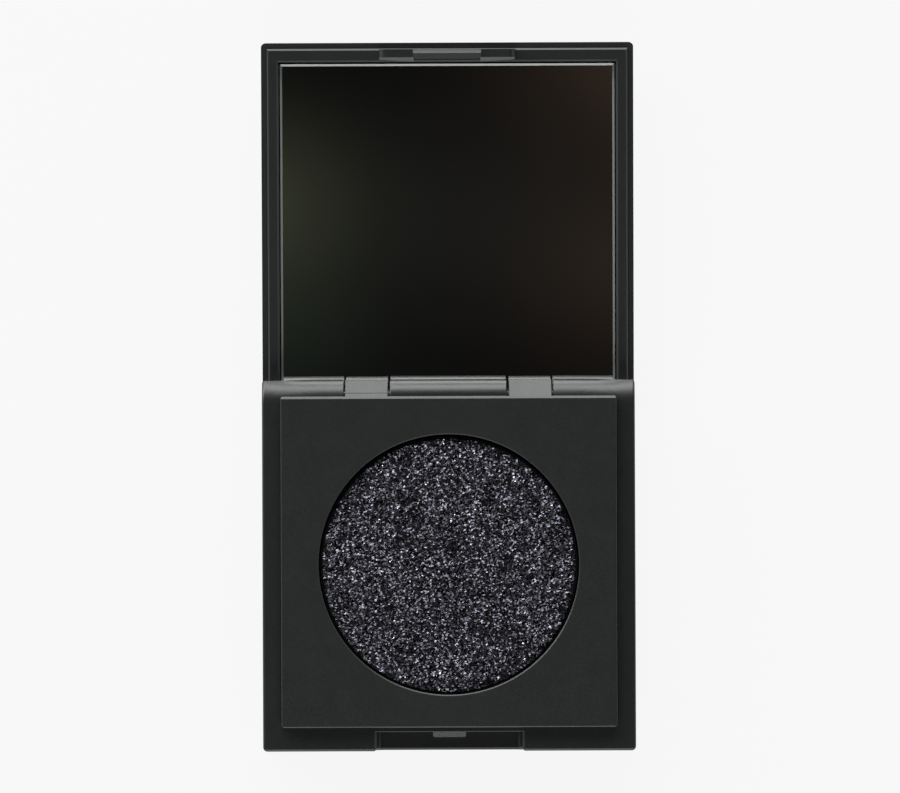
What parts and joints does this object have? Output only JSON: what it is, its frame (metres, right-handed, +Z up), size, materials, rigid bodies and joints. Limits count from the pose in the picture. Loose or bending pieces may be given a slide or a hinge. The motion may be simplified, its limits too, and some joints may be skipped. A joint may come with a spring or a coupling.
{
  "type": "eyeshadow compact",
  "caption": "Square hinged compact standing open, with a round pan of pressed glitter eyeshadow in a raised deck and a square mirror in the lid.",
  "frame": {"origin": "middle of the open compact's footprint box, on the surface that the base stands on", "axes": "+X along the hinge towards the right side, +Y from the base's front edge towards the open lid, +Z up"},
  "size_m": [0.042, 0.08, 0.009],
  "materials": {
    "shell_plastic": "black, fine matte moulded texture",
    "deck_plastic": "black, soft-touch matte",
    "frame_plastic": "black, satin",
    "lacquered_tinplate": "black lacquer",
    "glitter_powder": "pressed black glitter",
    "silvered_glass": "polished, ground edge",
    "pin_steel": "drawn wire, blackened",
    "adhesive": "translucent glue",
    "label_paper": "blank satin label"
  },
  "bodies": {
    "base": {"base_shell": "shell_plastic", "base_tray": "deck_plastic", "eyeshadow_pan": "lacquered_tinplate", "eyeshadow_cake": "glitter_powder", "pan_adhesive": "adhesive", "base_label": "label_paper", "hinge_pin_left": "pin_steel", "hinge_pin_right": "pin_steel"},
    "lid": {"lid_cover": "shell_plastic", "lid_frame": "frame_plastic", "mirror": "silvered_glass", "mirror_adhesive": "adhesive"}
  },
  "joints": [
    {"name": "lid_hinge", "type": "hinge", "parent": "base", "child": "lid", "pos_m": [0, -0.00011, 0.0057], "axis": [1, 0, 0], "range_deg": [0, 176.4]}
  ]
}
